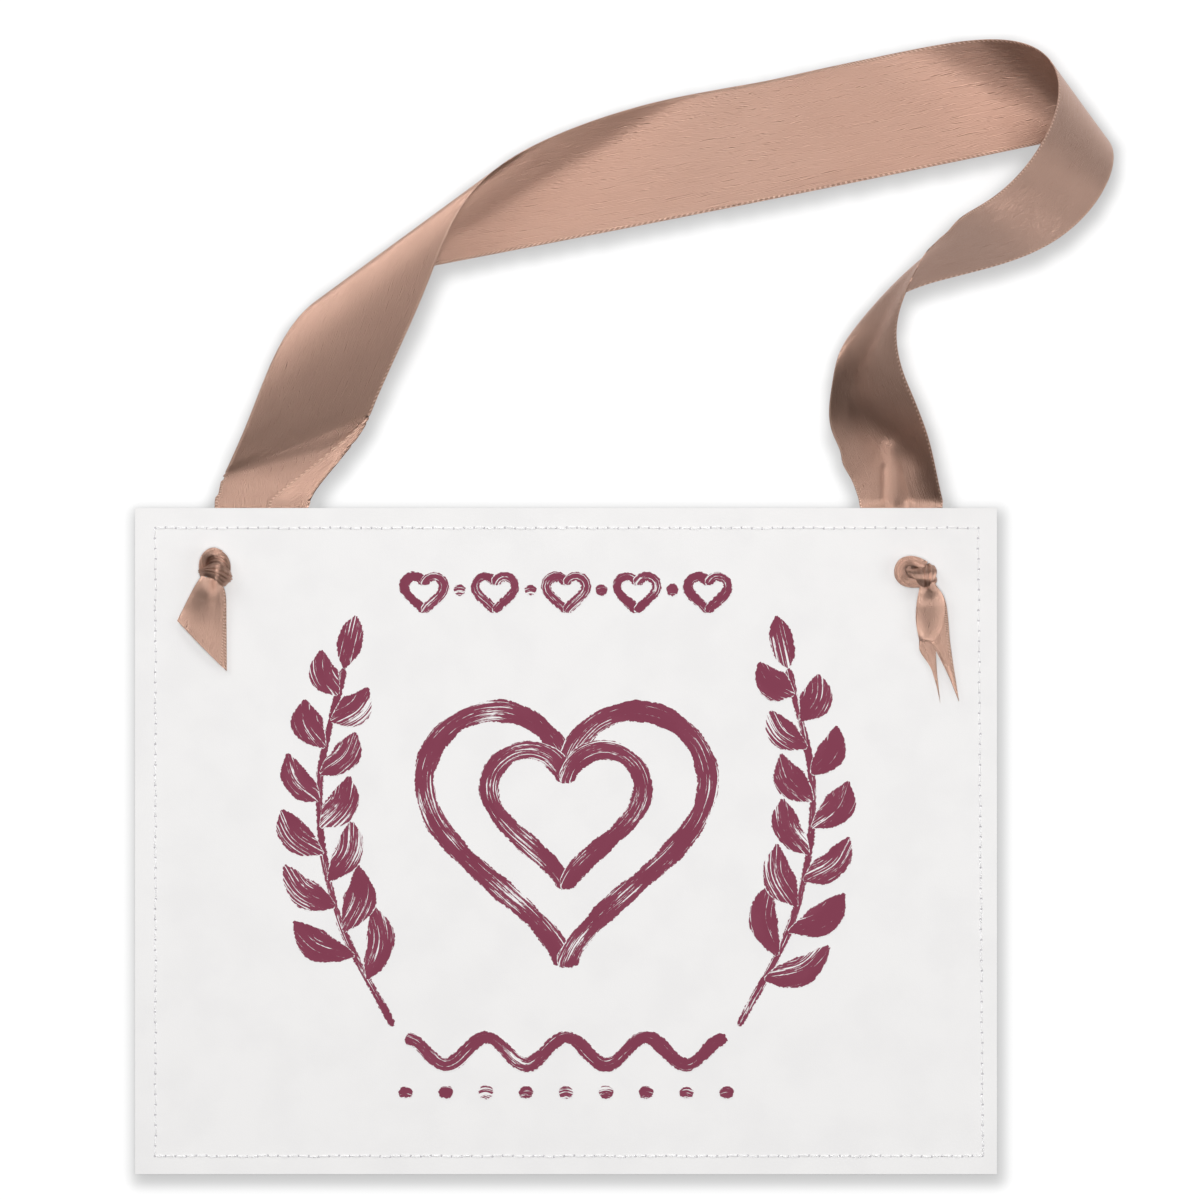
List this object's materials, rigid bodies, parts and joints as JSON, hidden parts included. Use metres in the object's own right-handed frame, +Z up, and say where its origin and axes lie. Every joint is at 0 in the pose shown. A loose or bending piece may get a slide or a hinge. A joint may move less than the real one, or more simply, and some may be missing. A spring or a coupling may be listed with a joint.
{
  "type": "hanging party sign",
  "caption": "Flat landscape card sign sewn round its border, hung on a wide satin ribbon that is knotted through its top corners.",
  "frame": {"origin": "under the middle of the whole sign as it lies on a table, ribbon included, at the table's surface", "axes": "+X to the sign's right as it is read, +Y towards its top edge and the ribbon, +Z up, out of its front face"},
  "size_m": [0.3181, 0.3675, 0.0539],
  "materials": {
    "card_stock": "matt off-white card",
    "sewing_thread": "matt white thread",
    "satin_ribbon": "dusty rose satin"
  },
  "bodies": {
    "board": {"front_sheet": "card_stock", "back_sheet": "card_stock", "front_thread": "sewing_thread", "back_thread": "sewing_thread", "left_lead": "satin_ribbon", "right_lead": "satin_ribbon"},
    "strap": {"strap": "satin_ribbon"},
    "left_knot": {"left_knot": "satin_ribbon"},
    "right_knot": {"right_knot": "satin_ribbon"},
    "left_tail": {"left_tail": "satin_ribbon"},
    "right_tail": {"right_tail": "satin_ribbon"}
  },
  "joints": [
    {"name": "strap_lift", "type": "hinge", "parent": "board", "child": "strap", "pos_m": [-0.01932, 0.03419, 0.001], "axis": [1, 0, 0], "range_deg": [-130, 100]},
    {"name": "left_knot_turn", "type": "hinge", "parent": "board", "child": "left_knot", "pos_m": [-0.13332, 0.00899, 0.0025], "axis": [0, 0, 1], "range_deg": [-25, 25]},
    {"name": "right_knot_turn", "type": "hinge", "parent": "board", "child": "right_knot", "pos_m": [0.09468, 0.00899, 0.0025], "axis": [0, 0, 1], "range_deg": [-25, 25]},
    {"name": "left_tail_lift", "type": "hinge", "parent": "left_knot", "child": "left_tail", "pos_m": [-0.1315, 0.00697, 0.00414], "axis": [-0.9743, 0.2251, 0], "range_deg": [0, 80]},
    {"name": "right_tail_lift", "type": "hinge", "parent": "right_knot", "child": "right_tail", "pos_m": [0.09858, 0.00683, 0.00414], "axis": [-0.9922, -0.125, 0], "range_deg": [0, 80]}
  ]
}
